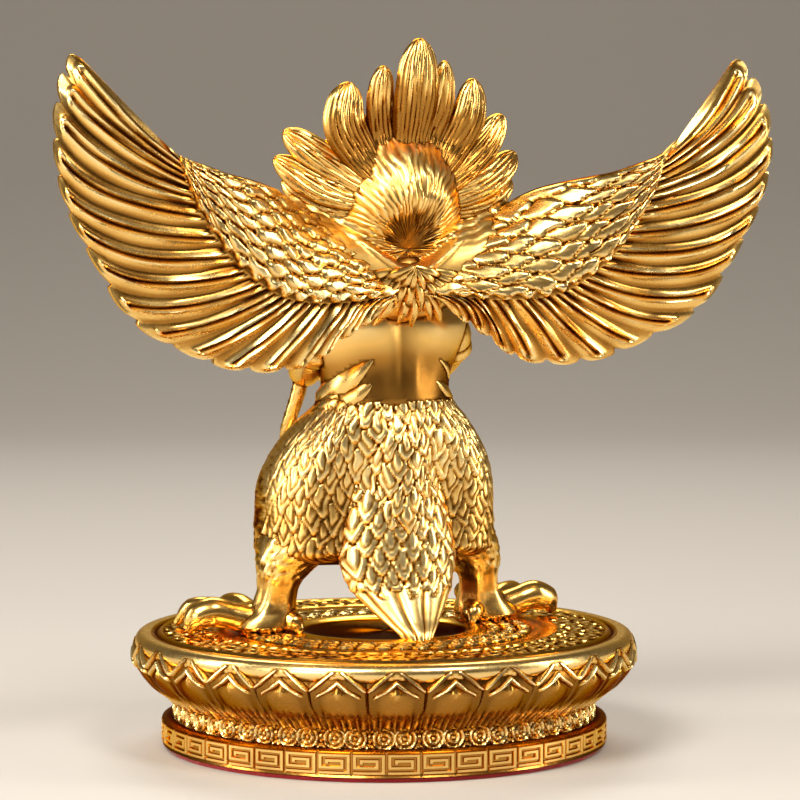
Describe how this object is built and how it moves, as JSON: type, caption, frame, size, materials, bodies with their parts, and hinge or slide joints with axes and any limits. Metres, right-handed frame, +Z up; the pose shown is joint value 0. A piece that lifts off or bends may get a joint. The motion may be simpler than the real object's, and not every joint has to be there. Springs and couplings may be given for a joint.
{
  "type": "garuda figurine",
  "caption": "Gold-plated bird deity with spread wings and a fanned mane, standing with a snake in its hands on a round lotus plinth.",
  "frame": {"origin": "centre of the felt pad's underside", "axes": "+Z up, -Y the way the figure looks, +X to the figure's own left"},
  "size_m": [0.1882, 0.127, 0.1769],
  "materials": {
    "gold_figure": "bright gold plate, satin in the smooth parts",
    "gold_plinth": "polished gold plate",
    "red_felt": "short red felt"
  },
  "bodies": {
    "root": {"garuda_figure": "gold_figure", "lotus_plinth": "gold_plinth", "felt_pad": "red_felt"}
  },
  "joints": []
}
